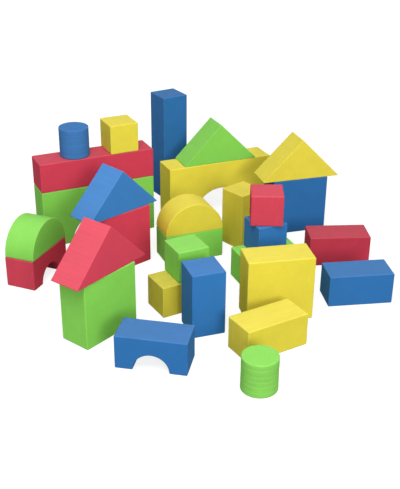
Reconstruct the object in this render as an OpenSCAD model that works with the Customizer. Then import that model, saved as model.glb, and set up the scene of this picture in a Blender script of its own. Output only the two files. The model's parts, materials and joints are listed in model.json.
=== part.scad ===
// Set of thirty large foam building blocks, some stacked and some standing loose on the floor.
// All are cut from one square module. A wedge is a slab cut corner to corner, a half round is
// a disc cut across, and an arch is a block with a round tunnel through it.
// X runs across the set, Y runs away from the front of it and Z is up from the floor.

/* [Straight blocks] */
// Thickness of every block, and the side of a cube
block_t = 75; // [60:1:90]
// Length of a brick and of a small arch, and the diameter of a half round
brick_l = 150; // [120:1:180]
// Side of a square slab, and the two short sides of a wedge
slab_s = 150; // [120:1:180]
// Length of a plank and of a large arch, and the height of a pillar
plank_l = 300; // [240:1:360]

/* [Arches] */
// Height of a large arch
arch_h = 150; // [120:1:180]
// Radius of a large arch's tunnel
arch_r = 75; // [50:1:90]
// Radius of a small arch's tunnel
bridge_r = 37.5; // [25:0.5:45]

/* [Drums] */
// Diameter of a drum
drum_d = 75; // [60:1:90]
// Height of a drum
drum_h = 75; // [60:1:90]

/* [Foam] */
// Radius that softens the outer edges of a block
edge_r = 2; // [1:0.5:5]
// Thickness of the foam sheets that a drum is glued up from
sheet_t = 12.5; // [10:0.5:20]
// Depth of the line that shows between two sheets
seam_d = 0.6; // [0.2:0.1:1]
// Gap that the nap of the foam leaves between two stacked blocks
rest_gap = 0.1; // [0.05:0.05:0.3]

/* [Hidden] */
$fn = 96;
// How far a cutting shape runs past what it cuts
overrun = 5;

foam_red = [0.83, 0.27, 0.33];
foam_blue = [0.22, 0.47, 0.74];
foam_green = [0.47, 0.80, 0.33];
foam_yellow = [0.90, 0.83, 0.26];

// One module of the layout: no block is longer than its own count of these,
// so blocks that grow push the stacks apart
pitch = max(block_t, brick_l / 2, slab_s / 2, plank_l / 4);

// Blocks that stand on the floor: name, place across and away in modules, turn in degrees, footprint
floor_shares = [
    ["green_large_arch", [-3.65, 3.20], 25, [plank_l, block_t]],
    ["blue_pillar", [-1.20, 6.85], 32, [block_t, block_t]],
    ["yellow_large_arch", [0.55, 5.40], 24, [plank_l, block_t]],
    ["blue_slab", [3.35, 3.85], 17, [slab_s, block_t]],
    ["yellow_upright_brick", [1.45, 2.50], 41, [block_t, block_t]],
    ["green_tower_brick", [2.10, 0.00], 22, [brick_l, block_t]],
    ["yellow_slab", [2.25, -2.30], 11, [slab_s, block_t]],
    ["yellow_front_brick", [1.90, -4.10], 31, [brick_l, block_t]],
    ["green_drum", [1.55, -6.10], 0, [drum_d, drum_d]],
    ["red_brick", [4.55, 1.30], 4, [brick_l, block_t]],
    ["blue_brick", [4.80, -1.30], 8, [brick_l, block_t]],
    ["green_base_brick", [-0.35, 1.55], 22, [brick_l, block_t]],
    ["yellow_low_brick", [-0.45, -1.75], 30, [brick_l, block_t]],
    ["blue_upright_brick", [0.10, -3.15], 19, [block_t, block_t]],
    ["blue_small_arch", [-1.20, -4.95], -11, [brick_l, block_t]],
    ["red_slab", [-2.70, 0.80], 42, [slab_s, block_t]],
    ["green_slab", [-2.85, -3.35], 51, [slab_s, block_t]],
    ["red_small_arch", [-5.20, 0.00], 68, [brick_l, block_t]]
];

// Blocks that stand on others: name, lowest block of that stack, shift along it in modules, turn against it
top_shares = [
    ["red_plank", "green_large_arch", 0, 0],
    ["blue_drum", "green_large_arch", -0.64, 0],
    ["yellow_cube", "green_large_arch", 0.96, 1],
    ["green_wedge", "yellow_large_arch", 0, -1],
    ["yellow_wedge", "blue_slab", 0, 0],
    ["blue_cube", "green_tower_brick", -0.06, 3],
    ["red_cube", "green_tower_brick", -0.06, -23],
    ["yellow_half_round", "green_base_brick", 0, 0],
    ["green_cube", "yellow_low_brick", 0.06, -3],
    ["blue_wedge", "red_slab", -0.06, 3],
    ["red_wedge", "green_slab", 0.08, 2],
    ["green_half_round", "red_small_arch", 0, 1]
];

// How far a turned footprint reaches along X and Y from its middle, with its corners softened
function reach(size, turn) =
    let (flat = size / 2 - [edge_r, edge_r])
    let (c = abs(cos(turn)))
    let (s = abs(sin(turn)))
    [flat[0] * c + flat[1] * s + edge_r, flat[0] * s + flat[1] * c + edge_r];

// A round block reaches half its diameter whichever way it is turned
function stand_reach(row) = row[0] == "green_drum" ? row[3] / 2 : reach(row[3], row[2]);

// Middle of the floor that the whole set covers
low_corner = [for (k = [0, 1]) min([for (row = floor_shares) row[1][k] * pitch - stand_reach(row)[k]])];
high_corner = [for (k = [0, 1]) max([for (row = floor_shares) row[1][k] * pitch + stand_reach(row)[k]])];
set_middle = (low_corner + high_corner) / 2;

// Puts its children on the floor where the named block stands, turned as that block is
module stand(name) {
    row = floor_shares[search([name], floor_shares)[0]];
    place = row[1] * pitch - set_middle;
    translate([place[0], place[1], 0])
        rotate([0, 0, row[2]])
            children();
}

// Puts its children at the named block's place in its stack, on the heights of the blocks below it
module perch(name, below) {
    row = top_shares[search([name], top_shares)[0]];
    height = below * [for (h = below) 1] + len(below) * rest_gap;
    stand(row[1])
        translate([row[2] * pitch, 0, height])
            rotate([0, 0, row[3]])
                children();
}

// Rectangle with softened corners, its middle at the origin
module soft_outline(w, h) {
    square([w - 2 * edge_r, h], center = true);
    square([w, h - 2 * edge_r], center = true);
    for (x = [-1, 1], y = [-1, 1])
        translate([x * (w / 2 - edge_r), y * (h / 2 - edge_r)])
            circle(r = edge_r);
}

// Block with all twelve edges softened, its middle at the origin
module soft_box(l, w, h) {
    intersection() {
        linear_extrude(h, center = true)
            soft_outline(l, w);
        rotate([90, 0, 0])
            linear_extrude(w, center = true)
                soft_outline(l, h);
        rotate([90, 0, 90])
            linear_extrude(l, center = true)
                soft_outline(w, h);
    }
}

// Block that stands on the floor
module block(l, w, h) {
    translate([0, 0, h / 2])
        soft_box(l, w, h);
}

// Block with a round tunnel through its thickness, level with the floor
module arch(l, h, tunnel_r) {
    difference() {
        block(l, block_t, h);
        rotate([90, 0, 0])
            cylinder(h = block_t + 2 * overrun, r = tunnel_r, center = true);
    }
}

// Slab set on its corner and cut level through its middle
module wedge() {
    diagonal = slab_s * sqrt(2);
    difference() {
        rotate([0, 45, 0])
            soft_box(slab_s, block_t, slab_s);
        translate([0, 0, -diagonal / 2])
            cube([diagonal + 2 * overrun, block_t + 2 * overrun, diagonal], center = true);
    }
}

// Half of a disc that rests on its cut face
module half_round() {
    rotate([90, 0, 0])
        rotate_extrude(angle = 180)
            intersection() {
                soft_outline(brick_l, block_t);
                translate([0, -block_t / 2])
                    square([brick_l / 2, block_t]);
            }
}

// Drum of glued foam sheets: a shallow line runs round it wherever two sheets meet
module drum() {
    sheets = max(2, round(drum_h / sheet_t));
    rotate_extrude()
        difference() {
            intersection() {
                translate([0, drum_h / 2])
                    soft_outline(drum_d, drum_h);
                square([drum_d / 2, drum_h]);
            }
            for (i = [1 : sheets - 1])
                translate([drum_d / 2, i * drum_h / sheets])
                    circle(r = seam_d);
        }
}

module green_large_arch() {
    color(foam_green)
        stand("green_large_arch")
            arch(plank_l, arch_h, arch_r);
}

module red_plank() {
    color(foam_red)
        perch("red_plank", [arch_h])
            block(plank_l, block_t, block_t);
}

module blue_drum() {
    color(foam_blue)
        perch("blue_drum", [arch_h, block_t])
            drum();
}

module yellow_cube() {
    color(foam_yellow)
        perch("yellow_cube", [arch_h, block_t])
            block(block_t, block_t, block_t);
}

module blue_pillar() {
    color(foam_blue)
        stand("blue_pillar")
            block(block_t, block_t, plank_l);
}

module yellow_large_arch() {
    color(foam_yellow)
        stand("yellow_large_arch")
            arch(plank_l, arch_h, arch_r);
}

module green_wedge() {
    color(foam_green)
        perch("green_wedge", [arch_h])
            wedge();
}

module blue_slab() {
    color(foam_blue)
        stand("blue_slab")
            block(slab_s, block_t, slab_s);
}

module yellow_wedge() {
    color(foam_yellow)
        perch("yellow_wedge", [slab_s])
            wedge();
}

module yellow_upright_brick() {
    color(foam_yellow)
        stand("yellow_upright_brick")
            block(block_t, block_t, brick_l);
}

module green_tower_brick() {
    color(foam_green)
        stand("green_tower_brick")
            block(brick_l, block_t, block_t);
}

module blue_cube() {
    color(foam_blue)
        perch("blue_cube", [block_t])
            block(block_t, block_t, block_t);
}

module red_cube() {
    color(foam_red)
        perch("red_cube", [block_t, block_t])
            block(block_t, block_t, block_t);
}

module yellow_slab() {
    color(foam_yellow)
        stand("yellow_slab")
            block(slab_s, block_t, slab_s);
}

module yellow_front_brick() {
    color(foam_yellow)
        stand("yellow_front_brick")
            block(brick_l, block_t, block_t);
}

module green_drum() {
    color(foam_green)
        stand("green_drum")
            drum();
}

module red_brick() {
    color(foam_red)
        stand("red_brick")
            block(brick_l, block_t, block_t);
}

module blue_brick() {
    color(foam_blue)
        stand("blue_brick")
            block(brick_l, block_t, block_t);
}

module green_base_brick() {
    color(foam_green)
        stand("green_base_brick")
            block(brick_l, block_t, block_t);
}

module yellow_half_round() {
    color(foam_yellow)
        perch("yellow_half_round", [block_t])
            half_round();
}

module yellow_low_brick() {
    color(foam_yellow)
        stand("yellow_low_brick")
            block(brick_l, block_t, block_t);
}

module green_cube() {
    color(foam_green)
        perch("green_cube", [block_t])
            block(block_t, block_t, block_t);
}

module blue_upright_brick() {
    color(foam_blue)
        stand("blue_upright_brick")
            block(block_t, block_t, brick_l);
}

module blue_small_arch() {
    color(foam_blue)
        stand("blue_small_arch")
            arch(brick_l, block_t, bridge_r);
}

module red_slab() {
    color(foam_red)
        stand("red_slab")
            block(slab_s, block_t, slab_s);
}

module blue_wedge() {
    color(foam_blue)
        perch("blue_wedge", [slab_s])
            wedge();
}

module green_slab() {
    color(foam_green)
        stand("green_slab")
            block(slab_s, block_t, slab_s);
}

module red_wedge() {
    color(foam_red)
        perch("red_wedge", [slab_s])
            wedge();
}

module red_small_arch() {
    color(foam_red)
        stand("red_small_arch")
            arch(brick_l, block_t, bridge_r);
}

module green_half_round() {
    color(foam_green)
        perch("green_half_round", [block_t])
            half_round();
}

green_large_arch();
red_plank();
blue_drum();
yellow_cube();
blue_pillar();
yellow_large_arch();
green_wedge();
blue_slab();
yellow_wedge();
yellow_upright_brick();
green_tower_brick();
blue_cube();
red_cube();
yellow_slab();
yellow_front_brick();
green_drum();
red_brick();
blue_brick();
green_base_brick();
yellow_half_round();
yellow_low_brick();
green_cube();
blue_upright_brick();
blue_small_arch();
red_slab();
blue_wedge();
green_slab();
red_wedge();
red_small_arch();
green_half_round();
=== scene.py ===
"""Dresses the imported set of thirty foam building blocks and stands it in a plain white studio.

Every block is lofted across its glued foam sheets, from one flat face to the other, in its own
frame. Geometry Nodes then cut the sheet lines and the slight unevenness of sliced foam, and the
mesh is put where the frame's solid stands. Lengths are in metres.
"""

import json
import logging
import math
from dataclasses import dataclass
from enum import Enum
from typing import Any, ClassVar

import bmesh
import bpy
from mathutils import Matrix, Vector

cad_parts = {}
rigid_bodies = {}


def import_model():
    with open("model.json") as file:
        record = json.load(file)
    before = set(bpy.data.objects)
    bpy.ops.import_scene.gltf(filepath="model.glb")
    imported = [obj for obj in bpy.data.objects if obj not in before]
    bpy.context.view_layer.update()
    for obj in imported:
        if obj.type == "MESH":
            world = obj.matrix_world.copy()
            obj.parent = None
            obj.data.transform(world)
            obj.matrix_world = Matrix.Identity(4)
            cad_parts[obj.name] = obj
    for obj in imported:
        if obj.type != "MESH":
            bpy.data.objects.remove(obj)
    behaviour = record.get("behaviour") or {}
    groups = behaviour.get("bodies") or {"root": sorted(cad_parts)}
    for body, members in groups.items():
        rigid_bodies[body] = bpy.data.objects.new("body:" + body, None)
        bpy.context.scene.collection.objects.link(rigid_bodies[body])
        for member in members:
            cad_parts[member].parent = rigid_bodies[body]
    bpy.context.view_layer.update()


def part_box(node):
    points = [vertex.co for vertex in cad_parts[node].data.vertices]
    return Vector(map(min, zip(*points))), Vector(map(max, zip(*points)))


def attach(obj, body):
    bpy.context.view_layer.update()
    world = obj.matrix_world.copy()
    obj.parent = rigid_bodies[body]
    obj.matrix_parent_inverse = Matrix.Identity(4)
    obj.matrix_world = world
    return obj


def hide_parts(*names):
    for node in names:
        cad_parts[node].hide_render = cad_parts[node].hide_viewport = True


LOG = logging.getLogger("foam_blocks")

MODULE = 0.075
SHEET = 0.0125
WHITE = (1.0, 1.0, 1.0, 1.0)

# How far one block's pattern lies from the next one's in the foam, in metres and in sheets
PATTERN_SHIFT = (0.61, 0.0, 0.37)
SHEET_SHIFT = 16

Pair = tuple[float, float]
Triple = tuple[float, float, float]
Socket = bpy.types.NodeSocket


class FoamColour(Enum):
    """The four foams of the set, by the name of their material slot."""

    RED = "foam_red"
    BLUE = "foam_blue"
    GREEN = "foam_green"
    YELLOW = "foam_yellow"


class Axis(Enum):
    """Which way the glued sheets of a block lie on each other."""

    DEPTH = "sheets stand side by side, from the front face to the back"
    HEIGHT = "sheets lie on each other, from the floor up"


class NodeBoard:
    """Adds nodes to one tree and joins them."""

    def __init__(self, tree: bpy.types.NodeTree) -> None:
        """Takes the tree and empties it.

        Args:
            tree: The shader or geometry tree to fill.
        """
        self.tree = tree
        tree.nodes.clear()

    def add(self, kind: str, inputs: dict[Any, Any] | None = None, **options: Any) -> bpy.types.Node:
        """Adds one node.

        Args:
            kind: Blender's name for the node.
            inputs: Values or sockets for its inputs, by name or number.
            options: Properties of the node.

        Returns:
            The new node.
        """
        node = self.tree.nodes.new(kind)
        for name, value in options.items():
            setattr(node, name, value)
        for name, value in (inputs or {}).items():
            if isinstance(value, Socket):
                self.tree.links.new(value, node.inputs[name])
            else:
                node.inputs[name].default_value = value
        return node

    def maths(self, operation: str, *values: Any) -> Socket:
        """Adds a Math node.

        Args:
            operation: Its operation.
            values: Its numbers or sockets, in order.

        Returns:
            The socket that holds the result.
        """
        return self.add("ShaderNodeMath", dict(enumerate(values)), operation=operation).outputs[0]

    def vector(self, operation: str, *values: Any) -> Socket:
        """Adds a Vector Math node.

        Args:
            operation: Its operation.
            values: Its vectors or sockets, in order.

        Returns:
            The socket that holds the resulting vector.
        """
        return self.add("ShaderNodeVectorMath", dict(enumerate(values)), operation=operation).outputs[0]

    def scaled(self, vector: Socket, factor: Any) -> Socket:
        """Multiplies a vector by a number.

        Args:
            vector: The vector's socket.
            factor: The number or its socket.

        Returns:
            The socket that holds the result.
        """
        return self.add("ShaderNodeVectorMath", {0: vector, "Scale": factor}, operation="SCALE").outputs[0]

    def mixed(self, share: Socket, first: Any, second: Any) -> Socket:
        """Mixes two colours.

        Args:
            share: How much of the second colour there is.
            first: The first colour or its socket.
            second: The second colour or its socket.

        Returns:
            The socket that holds the mixed colour.
        """
        return self.add("ShaderNodeMix", {0: share, 6: first, 7: second}, data_type="RGBA").outputs[2]

    def remap(self, value: Socket, start: Pair, end: Pair, **options: Any) -> Socket:
        """Carries one range of numbers over to another, and holds it at both ends.

        Args:
            value: The number's socket.
            start: The range that it comes from.
            end: The range that it goes to.
            options: Properties of the node.

        Returns:
            The socket that holds the result.
        """
        names = ("From Min", "From Max", "To Min", "To Max")
        inputs = {"Value": value, **dict(zip(names, (*start, *end)))}
        return self.add("ShaderNodeMapRange", inputs, **options).outputs["Result"]


def linear(srgb: Triple) -> tuple[float, float, float, float]:
    """Turns a display colour into the light that a shader needs.

    Args:
        srgb: Red, green and blue from 0 to 1, as on a screen.

    Returns:
        The linear colour with full alpha.
    """
    red, green, blue = (c / 12.92 if c <= 0.04045 else ((c + 0.055) / 1.055) ** 2.4 for c in srgb)
    return red, green, blue, 1.0


@dataclass(frozen=True)
class FoamFinish:
    """Matte closed-cell foam of one colour, sliced into sheets and glued.

    Scales are in waves for each metre. Amounts are shares of the colour's own brightness.
    """

    colour: FoamColour
    body: Triple
    rim: Triple
    mottle: float = 0.14
    mottle_scale: float = 30.0
    speckle: float = 0.08
    speckle_scale: float = 520.0
    pore: float = 0.12
    pore_scale: float = 850.0
    pore_reach: Pair = (0.10, 0.45)
    streak: float = 0.11
    streak_scale: Triple = (9.0, 230.0, 9.0)
    streak_height: float = 0.7
    sheet_tone: float = 0.025
    seam: float = 0.045
    seam_share: float = 0.05
    seam_wave: float = 0.10
    seam_gaps: Pair = (0.42, 0.62)
    # How much paler the rounded edges turn, in patches, and how much is taken off first
    rim_paling: float = 0.22
    rim_paling_offset: float = 0.04
    nap: float = 0.010
    # Painted sheen: how much paler faces that look up are drawn
    top_sheen: float = 0.024
    roughness: float = 0.80
    roughness_swing: float = 0.16
    specular: float = 0.05
    bump: float = 0.35
    bump_depth: float = 0.0004

    def material(self) -> bpy.types.Material:
        """Builds the material: clouding, cells, cutting streaks, sheet tones, glue lines, paler rounded
        edges and a painted sheen on faces that look up.

        Returns:
            The new material.
        """
        material = bpy.data.materials.new(self.colour.value)
        material.use_nodes = True
        board = NodeBoard(material.node_tree)
        place = board.add("ShaderNodeAttribute", attribute_name="foam_place").outputs["Vector"]
        cut = board.add("ShaderNodeAttribute", attribute_name="cut").outputs["Fac"]
        edge = board.add("ShaderNodeAttribute", attribute_name="edge").outputs["Fac"]
        block_tone = board.add("ShaderNodeAttribute", attribute_name="block_tone").outputs["Fac"]

        clouds = self._noise(board, place, self.mottle_scale, detail=3.0)
        cells = self._noise(board, place, self.speckle_scale, detail=2.0)
        pores = self._pores(board, place)
        lines = self._noise(board, board.vector("MULTIPLY", place, self.streak_scale), 1.0, detail=2.0)
        on_cuts = board.maths("ADD", self._around(board, lines, self.streak), self._sheets(board, clouds))
        cloudy = self._around(board, clouds, self.mottle)
        light = board.maths("ADD", cloudy, self._around(board, cells, self.speckle))
        light = board.maths("ADD", light, board.maths("MULTIPLY", on_cuts, cut))
        light = board.maths("MULTIPLY_ADD", pores, -self.pore, light)
        # The block's shade: in part the tone of its own foam, in part painted light and painted shade
        value = board.maths("ADD", light, board.maths("ADD", block_tone, 1.0))

        # Paler towards the rounded edges, in patches that follow the clouding
        rim_paling = board.maths("MULTIPLY", edge, board.maths("MULTIPLY_ADD", clouds, self.rim_paling, -self.rim_paling_offset))
        plain = board.mixed(rim_paling, linear(self.body), linear(self.rim))
        toned = board.add("ShaderNodeHueSaturation", {"Value": value, "Color": plain}).outputs["Color"]
        # Whiter on cut faces for the nap of the foam, and on faces that look up for a painted sheen
        pale = board.maths("MULTIPLY_ADD", cut, self.nap, self._painted_top_sheen(board))
        scored = board.maths("MULTIPLY", lines, cut)
        height = board.maths("MULTIPLY_ADD", scored, self.streak_height, cells)
        height = board.maths("SUBTRACT", height, pores)
        bump = board.add(
            "ShaderNodeBump",
            {"Strength": self.bump, "Distance": self.bump_depth, "Height": height},
        )
        swing = self.roughness_swing
        rough = board.maths("MULTIPLY_ADD", cells, swing, self.roughness - swing / 2)
        shader = board.add(
            "ShaderNodeBsdfPrincipled",
            {
                "Base Color": board.mixed(pale, toned, WHITE),
                "Roughness": rough,
                "Normal": bump.outputs["Normal"],
                "Specular IOR Level": self.specular,
            },
        )
        board.add("ShaderNodeOutputMaterial", {"Surface": shader.outputs["BSDF"]})
        return material

    def _painted_top_sheen(self, board: NodeBoard) -> Socket:
        """Adds a painted sheen: a pale veil on faces that look up.

        Args:
            board: The material's board.

        Returns:
            The painted sheen's socket, 0 on upright faces and below.
        """
        normal = board.add("ShaderNodeNewGeometry").outputs["Normal"]
        up = board.add("ShaderNodeSeparateXYZ", {0: normal}).outputs["Z"]
        return board.maths("MULTIPLY", board.maths("MAXIMUM", up, 0.0), self.top_sheen)

    def _pores(self, board: NodeBoard, place: Socket) -> Socket:
        """Adds the small open cells that show where foam was cut.

        Args:
            board: The material's board.
            place: Where on the block the cells are read.

        Returns:
            The cells' socket, 1 at the bottom of a cell and 0 between cells.
        """
        cell = board.add("ShaderNodeTexVoronoi", {"Vector": place, "Scale": self.pore_scale})
        return board.remap(cell.outputs["Distance"], self.pore_reach, (1.0, 0.0))

    def _sheets(self, board: NodeBoard, clouds: Socket) -> Socket:
        """Adds each sheet's own tone, and the glue lines between sheets, which waver, fade and come back.

        Args:
            board: The material's board.
            clouds: A slow pattern from 0 to 1 that the glue lines follow.

        Returns:
            The socket of what the sheets add to the brightness.
        """
        sheet = board.add("ShaderNodeAttribute", attribute_name="sheet").outputs["Fac"]
        wavy = board.maths("ADD", sheet, self._around(board, clouds, self.seam_wave))
        tone = board.add(
            "ShaderNodeTexWhiteNoise",
            {"W": board.maths("FLOOR", wavy)},
            noise_dimensions="1D",
        ).outputs["Value"]
        line = board.remap(board.maths("PINGPONG", wavy, 0.5), (0.0, self.seam_share), (self.seam, 0.0))
        shown = board.remap(clouds, self.seam_gaps, (0.0, 1.0))
        tones = self._around(board, tone, self.sheet_tone)
        return board.maths("SUBTRACT", tones, board.maths("MULTIPLY", line, shown))

    @staticmethod
    def _noise(board: NodeBoard, place: Socket, scale: float, detail: float) -> Socket:
        """Adds a noise pattern.

        Args:
            board: The material's board.
            place: Where on the block the pattern is read.
            scale: How many waves it has in a metre.
            detail: How many finer layers it has.

        Returns:
            The pattern's socket, from 0 to 1.
        """
        pattern = {"Vector": place, "Scale": scale, "Detail": detail}
        return board.add("ShaderNodeTexNoise", pattern).outputs["Fac"]

    @staticmethod
    def _around(board: NodeBoard, pattern: Socket, amount: float) -> Socket:
        """Makes a pattern of 0 to 1 swing about zero.

        Args:
            board: The material's board.
            pattern: The pattern's socket.
            amount: How far it swings in all.

        Returns:
            The swinging pattern's socket.
        """
        return board.maths("MULTIPLY_ADD", pattern, amount, -amount / 2)


FINISHES = (
    FoamFinish(FoamColour.RED, body=(0.791, 0.243, 0.320), rim=(0.96, 0.50, 0.55)),
    FoamFinish(FoamColour.BLUE, body=(0.191, 0.435, 0.676), rim=(0.45, 0.65, 0.86)),
    FoamFinish(FoamColour.GREEN, body=(0.514, 0.808, 0.328), rim=(0.70, 0.93, 0.55)),
    FoamFinish(FoamColour.YELLOW, body=(0.875, 0.813, 0.268), rim=(0.97, 0.93, 0.52)),
)


@dataclass(frozen=True)
class SheetCut:
    """How unevenly the glued sheets of a block were cut, in metres."""

    crown: float = 0.0
    seam_depth: float = 0.0
    seam_width: float = 0.0007
    stagger: float = 0.0
    wobble: float = 0.0003
    wobble_size: float = 0.045


SLICED = SheetCut(crown=0.00003, seam_depth=0.00006, stagger=0.00005)
SAWN = SheetCut()
PUNCHED = SheetCut(crown=0.00013, seam_depth=0.00013, seam_width=0.0014, stagger=0.00025, wobble=0.00025)


class FoamSkin:
    """The node tree that cuts the sheet lines into a block and makes its faces slightly uneven."""

    INPUTS: ClassVar[tuple[tuple[str, str], ...]] = (
        ("Sheet Crown", "NodeSocketFloat"),
        ("Seam Depth", "NodeSocketFloat"),
        ("Seam Share", "NodeSocketFloat"),
        ("Sheet Stagger", "NodeSocketFloat"),
        ("Wobble", "NodeSocketFloat"),
        ("Wobble Scale", "NodeSocketFloat"),
        ("Seed", "NodeSocketInt"),
        ("Material", "NodeSocketMaterial"),
    )

    def __init__(self) -> None:
        """Builds the tree with its named inputs."""
        self.tree = bpy.data.node_groups.new("foam skin", "GeometryNodeTree")
        face = self.tree.interface
        face.new_socket("Geometry", in_out="INPUT", socket_type="NodeSocketGeometry")
        self.ids = {
            name: face.new_socket(name, in_out="INPUT", socket_type=kind).identifier
            for name, kind in self.INPUTS
        }
        face.new_socket("Geometry", in_out="OUTPUT", socket_type="NodeSocketGeometry")
        self._fill(NodeBoard(self.tree))

    def _fill(self, board: NodeBoard) -> None:
        """Adds the nodes: each sheet's crown, stagger and glue line, then the wobble of the whole face.

        Args:
            board: The board of the empty tree.
        """
        given = board.add("NodeGroupInput").outputs
        sheet = self._named(board, "sheet", "FLOAT")
        outward = self._named(board, "outward", "FLOAT_VECTOR")
        place = self._named(board, "foam_place", "FLOAT_VECTOR")

        to_seam = board.maths("PINGPONG", sheet, 0.5)
        off_middle = board.maths("MULTIPLY_ADD", to_seam, -2.0, 1.0)
        crown = board.maths("MULTIPLY", board.maths("POWER", off_middle, 2.0), given["Sheet Crown"])
        near = board.maths("SUBTRACT", 1.0, board.maths("DIVIDE", to_seam, given["Seam Share"]))
        near = board.maths("MAXIMUM", near, 0.0)
        groove = board.maths("MULTIPLY", near, given["Seam Depth"])
        draw = board.add(
            "FunctionNodeRandomValue",
            {"ID": board.maths("FLOOR", sheet), "Seed": given["Seed"]},
            data_type="FLOAT",
        ).outputs[1]
        stagger = board.maths("MULTIPLY", draw, given["Sheet Stagger"])
        inset = board.maths("ADD", board.maths("ADD", crown, groove), stagger)
        wobble = {"Vector": place, "Scale": given["Wobble Scale"], "Detail": 1.0}
        noise = board.add("ShaderNodeTexNoise", wobble)
        sink = board.maths("MULTIPLY", noise.outputs["Fac"], given["Wobble"])
        normal = board.add("GeometryNodeInputNormal").outputs["Normal"]
        moved = board.vector("ADD", board.scaled(outward, inset), board.scaled(normal, sink))
        shaped = board.add(
            "GeometryNodeSetPosition",
            {"Geometry": given["Geometry"], "Offset": board.scaled(moved, -1.0)},
        )
        clean = board.add(
            "GeometryNodeRemoveAttribute",
            {"Geometry": shaped.outputs["Geometry"], "Name": "outward"},
        )
        real = board.add("GeometryNodeRealizeInstances", {"Geometry": clean.outputs["Geometry"]})
        dressed = board.add(
            "GeometryNodeSetMaterial",
            {"Geometry": real.outputs["Geometry"], "Material": given["Material"]},
        )
        board.add("NodeGroupOutput", {"Geometry": dressed.outputs["Geometry"]})

    @staticmethod
    def _named(board: NodeBoard, name: str, kind: str) -> Socket:
        """Reads an attribute of the block's mesh.

        Args:
            board: The tree's board.
            name: The attribute's name.
            kind: Its data type.

        Returns:
            Its socket.
        """
        node = board.add("GeometryNodeInputNamedAttribute", {"Name": name}, data_type=kind)
        return node.outputs["Attribute"]

    def apply(self, piece: bpy.types.Object, cut: SheetCut, seed: int, material: bpy.types.Material) -> None:
        """Runs the tree on a block and keeps the result as its plain mesh.

        Args:
            piece: The block's object.
            cut: How unevenly its sheets are cut.
            seed: A number of the block's own.
            material: Its foam.
        """
        modifier = piece.modifiers.new("foam skin", "NODES")
        modifier.node_group = self.tree
        values = (
            cut.crown,
            cut.seam_depth,
            cut.seam_width / SHEET,
            cut.stagger,
            cut.wobble,
            1.0 / cut.wobble_size,
            seed,
            material,
        )
        for (name, _), value in zip(self.INPUTS, values):
            modifier[self.ids[name]] = value
        evaluated = piece.evaluated_get(bpy.context.evaluated_depsgraph_get())
        mesh = bpy.data.meshes.new_from_object(evaluated)
        piece.modifiers.clear()
        piece.data = mesh


@dataclass(frozen=True)
class RimPoint:
    """A point of a block's outline, the way out of the foam there, and how far it lies on a rounded corner.
    """

    u: float
    v: float
    out_u: float
    out_v: float
    corner: float


@dataclass(frozen=True)
class Loop:
    """One loop of a block's loft: its place across the sheets, how far it is drawn in, and where it lies."""

    across: float
    inset: float
    edge: float
    cut: float


def softened(corners: list[Pair], radius: float, step: float) -> list[RimPoint]:
    """Rounds the sharp corners of a closed outline and spaces points along its straight sides.

    Args:
        corners: The outline's points, counter-clockwise. Slight turns are taken as a curve.
        radius: Radius of the rounded corners.
        step: Longest stretch without a point.

    Returns:
        The outline's points with their outward directions.
    """
    sharp_turn, arc_parts, flank, slack = 0.35, 4, 0.0005, 1e-6
    points = [Vector(c) for c in corners]
    count = len(points)
    rim: list[RimPoint] = []
    for i, point in enumerate(points):
        before = (point - points[i - 1]).normalized()
        after = (points[(i + 1) % count] - point).normalized()
        turn = math.atan2(before.x * after.y - before.y * after.x, before.dot(after))
        if abs(turn) < sharp_turn:
            middle = (before + after).normalized()
            rim.append(RimPoint(point.x, point.y, middle.y, -middle.x, 0.0))
            continue
        reach = radius * math.tan(turn / 2)
        start = point - before * reach
        centre = start + Vector((-before.y, before.x)) * radius
        flat = Vector((before.y, -before.x))
        rim.append(RimPoint(*(start - before * flank), *flat, 0.0))
        for k in range(arc_parts + 1):
            out = Matrix.Rotation(turn * k / arc_parts, 2) @ flat
            rim.append(RimPoint(*(centre + out * radius), *out, math.sin(math.pi * k / arc_parts)))
        flat = Vector((after.y, -after.x))
        rim.append(RimPoint(*(point + after * (reach + flank)), *flat, 0.0))
    spaced: list[RimPoint] = []
    for i, a in enumerate(rim):
        b = rim[(i + 1) % len(rim)]
        spaced.append(a)
        length = math.hypot(b.u - a.u, b.v - a.v)
        parts = max(1, math.ceil(length / step - slack))
        for k in range(1, parts):
            share = k / parts
            spaced.append(
                RimPoint(a.u + (b.u - a.u) * share, a.v + (b.v - a.v) * share, b.out_u, b.out_v, 0.0)
            )
    return spaced


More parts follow.
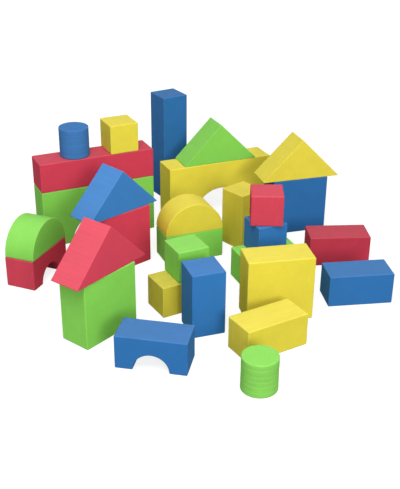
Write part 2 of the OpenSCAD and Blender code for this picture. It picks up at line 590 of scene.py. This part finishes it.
@dataclass
class FoamBlock:
    """A block glued up from foam sheets. Its own frame has its middle on the floor at the origin.

    Its shade says how much brighter the whole block is than the colour's finish, as a share: in part the
    tone of its own foam, in part painted light and painted shade where light falls on it differently.
    """

    node: str
    colour: FoamColour
    turn: float = 0.0
    depth: float = MODULE
    edge_radius: float = 0.0018
    corner_radius: float = 0.0026
    step: float = 0.0125
    sheets: Axis = Axis.DEPTH
    cut: SheetCut = SLICED
    lines: float = 1.0
    shade: float = 0.0

    def outline(self) -> list[Pair]:
        """Gives the outline that the sheets are cut to, counter-clockwise, with the floor at zero."""
        raise NotImplementedError

    def loops(self) -> list[Loop]:
        """Lists the loops of the loft from one flat face to the other.

        Returns:
            Rounded edges at both faces, with a glue line between each two sheets.
        """
        parts, flank = 4, 0.0004
        on_sheet, at_seam = (0.25, 0.5, 0.75), (-1.0, -0.4, 0.0, 0.4, 1.0)
        half, radius = self.depth / 2, self.edge_radius
        edge = [Loop(half, radius + flank, 0.0, 0.0)]
        for k in range(parts, -1, -1):
            angle = math.pi / 2 * k / parts
            edge.append(
                Loop(
                    half - radius * (1 - math.sin(angle)),
                    radius * (1 - math.cos(angle)),
                    math.sin(2 * angle),
                    1.0 if k == 0 else 0.0,
                )
            )
        count = round(self.depth / SHEET)
        width = self.cut.seam_width
        places = [-half + (i + share) * SHEET for i in range(count) for share in on_sheet]
        for i in range(1, count):
            seam = -half + i * SHEET
            places += [seam + width * share for share in at_seam]
        inner = [Loop(p, 0.0, 0.0, 1.0) for p in sorted(places)]
        first = [Loop(-e.across, e.inset, e.edge, e.cut) for e in edge]
        return first + inner + edge[::-1]

    def standing(self, u: float, v: float, across: float) -> Vector:
        """Puts a point of the outline, and its place across the sheets, into the block's own frame.

        Args:
            u: Place along the outline's width.
            v: Place along the outline's height.
            across: Place across the sheets.

        Returns:
            The point, or the direction, in the block's own frame.
        """
        if self.sheets is Axis.DEPTH:
            return Vector((u, across, v))
        return Vector((u, v, across))

    def foam_place(self, u: float, v: float, across: float) -> Vector:
        """Gives a point's place in the foam that the block was cut from.

        Args:
            u: Place along the outline's width.
            v: Place along the outline's height.
            across: Place across the loft.

        Returns:
            Along the sheets, through them from their middle, and along them again.
        """
        return Vector((u, across, v))

    def through(self) -> float:
        """Gives how thick the glued sheets are together."""
        return self.depth

    def lines_on(self, loop: Loop, point: RimPoint) -> float:
        """Gives how plainly the sheets show at a point of the loft.

        Args:
            loop: The point's loop.
            point: The point of the outline.

        Returns:
            0 where a sheet's own face shows, up to 1 or a little more where the sheets are cut through.
        """
        return loop.cut * self.lines

    def mesh(self, seed: int) -> bpy.types.Mesh:
        """Lofts the block as one closed mesh in its own frame.

        Args:
            seed: A number of the block's own, which moves its patterns.

        Returns:
            The mesh, with what the foam's skin and material read from it.
        """
        bm = bmesh.new()
        layers = bm.verts.layers
        place, outward = layers.float_vector.new("foam_place"), layers.float_vector.new("outward")
        sheet, cut, edge, block_tone = (layers.float.new(name) for name in ("sheet", "cut", "edge", "block_tone"))
        shift = Vector(PATTERN_SHIFT) * seed
        lift = self.depth / 2 if self.sheets is Axis.HEIGHT else 0.0
        rim = softened(self.outline(), self.corner_radius, self.step)
        rows = []
        for loop in self.loops():
            row = []
            for p in rim:
                u, v = p.u - p.out_u * loop.inset, p.v - p.out_v * loop.inset
                vert = bm.verts.new(self.standing(u, v, loop.across + lift))
                spot = self.foam_place(u, v, loop.across)
                vert[place] = spot + shift
                vert[outward] = self.standing(p.out_u, p.out_v, 0.0)
                vert[sheet] = (spot.y + self.through() / 2) / SHEET + SHEET_SHIFT * seed
                vert[cut] = self.lines_on(loop, p)
                vert[edge] = max(loop.edge, p.corner * loop.cut)
                vert[block_tone] = self.shade
                row.append(vert)
            rows.append(row)
        count = len(rim)
        for low, high in zip(rows, rows[1:]):
            for i in range(count):
                k = (i + 1) % count
                bm.faces.new((low[i], low[k], high[k], high[i]))
        faces = [bm.faces.new(rows[0]), bm.faces.new(rows[-1])]
        self._divide(bm, faces)
        bmesh.ops.recalc_face_normals(bm, faces=bm.faces)
        mesh = bpy.data.meshes.new(self.node)
        bm.to_mesh(mesh)
        bm.free()
        mesh.polygons.foreach_set("use_smooth", [True] * len(mesh.polygons))
        return mesh

    def _divide(self, bm: bmesh.types.BMesh, faces: list[bmesh.types.BMFace]) -> None:
        """Cuts the two flat faces into a grid, so that they can be slightly uneven.

        Args:
            bm: The block's mesh.
            faces: Its two flat faces.
        """
        flat, merge = 1e-6, 1e-5
        corners = [v.co.copy() for f in faces for v in f.verts]
        for axis in range(3):
            low, high = min(c[axis] for c in corners), max(c[axis] for c in corners)
            if all(abs(v.co[axis] - f.verts[0].co[axis]) < flat for f in faces for v in f.verts):
                continue
            parts = max(1, round((high - low) / self.step))
            normal = Vector((0.0, 0.0, 0.0))
            normal[axis] = 1.0
            for k in range(1, parts):
                at = normal * (low + (high - low) * k / parts)
                geom = set(faces)
                for f in faces:
                    geom.update(f.edges)
                    geom.update(f.verts)
                found = bmesh.ops.bisect_plane(bm, geom=list(geom), dist=merge, plane_co=at, plane_no=normal)
                faces = [g for g in found["geom"] if isinstance(g, bmesh.types.BMFace)]

    def build(self, seed: int, skin: FoamSkin, material: bpy.types.Material) -> bpy.types.Object:
        """Makes the block where the frame's solid stands, and ties it to the frame.

        Args:
            seed: A number of the block's own.
            skin: The tree that cuts its sheets.
            material: Its foam.

        Returns:
            The finished piece.
        """
        low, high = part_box(self.node)
        middle = (low + high) / 2
        mesh = self.mesh(seed)
        piece = bpy.data.objects.new(self.node + "_foam", mesh)
        bpy.context.scene.collection.objects.link(piece)
        turned = Matrix.Rotation(math.radians(self.turn), 4, "Z")
        mesh.transform(Matrix.Translation((middle.x, middle.y, low.z)) @ turned)
        outward = mesh.attributes["outward"].data
        for item in outward:
            item.vector = turned.to_3x3() @ item.vector
        skin.apply(piece, self.cut, seed, material)
        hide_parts(self.node)
        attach(piece, self.node)
        return piece


@dataclass
class StraightBlock(FoamBlock):
    """A cube, brick, slab, plank or pillar."""

    length: float = MODULE
    height: float = MODULE

    def outline(self) -> list[Pair]:
        """Gives the rectangle of the block's front face."""
        half = self.length / 2
        return [(-half, 0.0), (half, 0.0), (half, self.height), (-half, self.height)]


@dataclass
class ArchBlock(StraightBlock):
    """A straight block with a round tunnel, level with the floor."""

    tunnel: float = MODULE / 2
    tunnel_parts: int = 32

    def outline(self) -> list[Pair]:
        """Gives the rectangle with the tunnel's half circle taken out of its foot.

        Returns:
            The outline's points, counter-clockwise.
        """
        half, parts = self.length / 2, self.tunnel_parts
        angles = [math.pi * (1 - k / parts) for k in range(parts + 1)]
        tunnel = [(self.tunnel * math.cos(a), self.tunnel * math.sin(a)) for a in angles]
        return [(-half, 0.0), *tunnel, (half, 0.0), (half, self.height), (-half, self.height)]


@dataclass
class WedgeBlock(FoamBlock):
    """Half of a square slab, cut corner to corner and lying on the cut.

    Its sheets lie along its right slope, which shows none of them. The flat faces show them faintly.
    """

    side: float = 2 * MODULE
    edge_radius: float = 0.0010
    corner_radius: float = 0.0015
    cut: SheetCut = SAWN
    lines: float = 1.8
    slope_facing: float = 0.5
    flat_share: float = 0.5

    def outline(self) -> list[Pair]:
        """Gives the triangle of the block's front face."""
        half = self.side / math.sqrt(2)
        return [(-half, 0.0), (half, 0.0), (0.0, half)]

    def foam_place(self, u: float, v: float, across: float) -> Vector:
        """Gives a point's place in the foam, with the sheets along the right slope."""
        return Vector((v - u, u + v, across * math.sqrt(2))) / math.sqrt(2)

    def through(self) -> float:
        """Gives how thick the glued sheets are together."""
        return self.side

    def lines_on(self, loop: Loop, point: RimPoint) -> float:
        """Shows the sheets on all faces but the right slope, and less on the flat ones."""
        on_slope = loop.cut > 0 and min(point.out_u, point.out_v) > self.slope_facing
        return 0.0 if on_slope else self.lines * max(loop.cut, self.flat_share)


@dataclass
class HalfRoundBlock(FoamBlock):
    """Half of a disc that lies on its cut face."""

    radius: float = MODULE
    parts: int = 56
    cut: SheetCut = SAWN
    lines: float = 0.3

    def outline(self) -> list[Pair]:
        """Gives the half circle of the block's front face."""
        angles = [math.pi * k / self.parts for k in range(self.parts + 1)]
        return [(self.radius * math.cos(a), self.radius * math.sin(a)) for a in angles]


@dataclass
class DrumBlock(FoamBlock):
    """A drum of punched sheets that lie on each other."""

    diameter: float = MODULE
    parts: int = 96
    sheets: Axis = Axis.HEIGHT
    cut: SheetCut = PUNCHED
    lines: float = 1.9

    def outline(self) -> list[Pair]:
        """Gives the circle of the drum's top."""
        angles = [2 * math.pi * k / self.parts for k in range(self.parts)]
        return [(self.diameter / 2 * math.cos(a), self.diameter / 2 * math.sin(a)) for a in angles]


def block_set() -> list[FoamBlock]:
    """Lists the thirty blocks, stack by stack, with the turn that each stands at.

    Returns:
        The blocks in the order that they are made.
    """
    red, blue, green, yellow = FoamColour
    brick = {"length": 2 * MODULE}
    upright = {"height": 2 * MODULE}
    slab = {"length": 2 * MODULE, "height": 2 * MODULE}
    plank = {"length": 4 * MODULE}
    great = {"length": 4 * MODULE, "height": 2 * MODULE, "tunnel": MODULE, "tunnel_parts": 48}
    return [
        ArchBlock("green_large_arch", green, 25, **great),
        StraightBlock("red_plank", red, 25, **plank),
        DrumBlock("blue_drum", blue, 25),
        StraightBlock("yellow_cube", yellow, 26),
        StraightBlock("blue_pillar", blue, 32, shade=-0.07, height=4 * MODULE),
        ArchBlock("yellow_large_arch", yellow, 24, shade=0.09, **great),
        WedgeBlock("green_wedge", green, 23, lines=0.7),
        StraightBlock("blue_slab", blue, 17, shade=-0.09, **slab),
        WedgeBlock("yellow_wedge", yellow, 17, lines=0.7),
        StraightBlock("yellow_upright_brick", yellow, 41, **upright),
        # Its shade lifts its left face out of the shade that its neighbours cast on it: painted light
        StraightBlock("green_tower_brick", green, 22, shade=0.15, **brick),
        StraightBlock("blue_cube", blue, 25, shade=0.12),
        # A quarter turn more than it stands at, because its front shows the edges of its sheets
        StraightBlock("red_cube", red, 89),
        StraightBlock("yellow_slab", yellow, 11, **slab),
        StraightBlock("yellow_front_brick", yellow, 31, **brick),
        DrumBlock("green_drum", green),
        StraightBlock("red_brick", red, 4, shade=-0.19, **brick),
        StraightBlock("blue_brick", blue, 8, **brick),
        StraightBlock("green_base_brick", green, 22, shade=0.09, **brick),
        HalfRoundBlock("yellow_half_round", yellow, 22),
        StraightBlock("yellow_low_brick", yellow, 30, shade=-0.17, **brick),
        StraightBlock("green_cube", green, 27),
        StraightBlock("blue_upright_brick", blue, 19, shade=0.08, **upright),
        ArchBlock("blue_small_arch", blue, -11, **brick),
        StraightBlock("red_slab", red, 42, shade=0.10, **slab),
        WedgeBlock("blue_wedge", blue, 45, shade=0.26),
        StraightBlock("green_slab", green, 51, shade=0.05, **slab),
        WedgeBlock("red_wedge", red, 53, shade=0.08),
        ArchBlock("red_small_arch", red, 68, **brick),
        HalfRoundBlock("green_half_round", green, 69),
    ]


@dataclass(frozen=True)
class SoftBox:
    """A large soft lamp that faces the middle of the set. Angles are in degrees, power in watts."""

    name: str
    right: float
    up: float
    side: float
    power: float
    distance: float = 9.0
    aim: Triple = (0.0, 0.0, 0.1)

    def hang(self) -> None:
        """Hangs the lamp to the right of the front and above the floor, turned to its aim."""
        lamp = bpy.data.lights.new(self.name, "AREA")
        lamp.shape = "RECTANGLE"
        lamp.size, lamp.size_y = self.side, self.side
        lamp.energy = self.power
        box = bpy.data.objects.new(self.name, lamp)
        bpy.context.scene.collection.objects.link(box)
        a, e = math.radians(self.right), math.radians(self.up)
        away = Vector((math.sin(a) * math.cos(e), -math.cos(a) * math.cos(e), math.sin(e)))
        box.location = Vector(self.aim) + away * self.distance
        box.rotation_mode = "QUATERNION"
        box.rotation_quaternion = (-away).to_track_quat("-Z", "Y")


@dataclass
class Studio:
    """White floor and surroundings, soft boxes and the camera of the photograph."""

    eye: Triple = (0.0018, -1.9001, 1.0045)
    look_down: float = 26.275
    heading: float = -0.144
    roll: float = 0.519
    lens: float = 64.55
    sky: float = 0.52
    floor_side: float = 14.0
    floor_grey: float = 0.30
    floor_glow: float = 0.80
    glow_reach: Pair = (0.8, 2.2)
    lamps: tuple[SoftBox, ...] = (
        SoftBox("front_box", right=20, up=20, side=2.8, power=340.0),
        SoftBox("top_box", right=-7, up=57, side=1.17, power=40.3, distance=2.5),
    )

    def build(self) -> None:
        """Makes the whole studio."""
        self._world()
        self._floor()
        for lamp in self.lamps:
            lamp.hang()
        self._camera()
        bpy.context.scene.view_settings.view_transform = "Standard"

    @staticmethod
    def _seen(board: NodeBoard) -> Socket:
        """Adds a mask that is 1 for what the camera sees directly or in a gloss or glass.

        Args:
            board: The material's or the world's board.

        Returns:
            The mask's socket.
        """
        path = board.add("ShaderNodeLightPath").outputs
        seen = board.maths("MAXIMUM", path["Is Camera Ray"], path["Is Glossy Ray"])
        return board.maths("MAXIMUM", seen, path["Is Transmission Ray"])

    def _world(self) -> None:
        """Makes soft white surroundings that show as plain white."""
        world = bpy.data.worlds.new("studio")
        bpy.context.scene.world = world
        world.use_nodes = True
        board = NodeBoard(world.node_tree)
        strength = board.maths("MULTIPLY_ADD", self._seen(board), 1.0 - self.sky, self.sky)
        shader = board.add("ShaderNodeBackground", {"Color": WHITE, "Strength": strength})
        board.add("ShaderNodeOutputWorld", {"Surface": shader.outputs["Background"]})

    def _floor(self) -> None:
        """Lays a white floor that keeps a pale shadow under the blocks."""
        half = self.floor_side / 2
        mesh = bpy.data.meshes.new("floor")
        corners = [(-half, -half, 0), (half, -half, 0), (half, half, 0), (-half, half, 0)]
        mesh.from_pydata(corners, [], [(0, 1, 2, 3)])
        floor = bpy.data.objects.new("floor", mesh)
        bpy.context.scene.collection.objects.link(floor)
        material = bpy.data.materials.new("white_floor")
        material.use_nodes = True
        board = NodeBoard(material.node_tree)
        grey = (self.floor_grey, self.floor_grey, self.floor_grey, 1.0)
        lit = board.add("ShaderNodeBsdfDiffuse", {"Color": grey})
        spot = board.add("ShaderNodeNewGeometry").outputs["Position"]
        away = board.add("ShaderNodeVectorMath", {0: spot}, operation="LENGTH").outputs["Value"]
        rise = (self.floor_glow, 1.0)
        glow = board.remap(away, self.glow_reach, rise, interpolation_type="SMOOTHSTEP")
        pale = board.add("ShaderNodeEmission", {"Color": WHITE, "Strength": glow})
        shown = board.add("ShaderNodeAddShader", {0: lit.outputs[0], 1: pale.outputs[0]})
        faces = {0: self._seen(board), 1: lit.outputs[0], 2: shown.outputs[0]}
        mixed = board.add("ShaderNodeMixShader", faces)
        board.add("ShaderNodeOutputMaterial", {"Surface": mixed.outputs[0]})
        mesh.materials.append(material)

    def _camera(self) -> None:
        """Sets the camera as the photograph was taken."""
        data = bpy.data.cameras.new("camera")
        data.lens = self.lens
        camera = bpy.data.objects.new("camera", data)
        bpy.context.scene.collection.objects.link(camera)
        camera.matrix_world = (
            Matrix.Translation(self.eye)
            @ Matrix.Rotation(math.radians(self.heading), 4, "Z")
            @ Matrix.Rotation(math.radians(90 - self.look_down), 4, "X")
            @ Matrix.Rotation(math.radians(self.roll), 4, "Z")
        )
        bpy.context.scene.camera = camera


def main() -> None:
    """Builds every block around the frame, then the studio, and logs each piece's face count."""
    logging.basicConfig(level=logging.INFO, format="%(name)s: %(message)s")
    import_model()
    materials = {finish.colour: finish.material() for finish in FINISHES}
    skin = FoamSkin()
    for seed, block in enumerate(block_set(), start=1):
        piece = block.build(seed, skin, materials[block.colour])
        LOG.info("%s: %d faces", piece.name, len(piece.data.polygons))
    Studio().build()


if __name__ == "__main__":
    main()
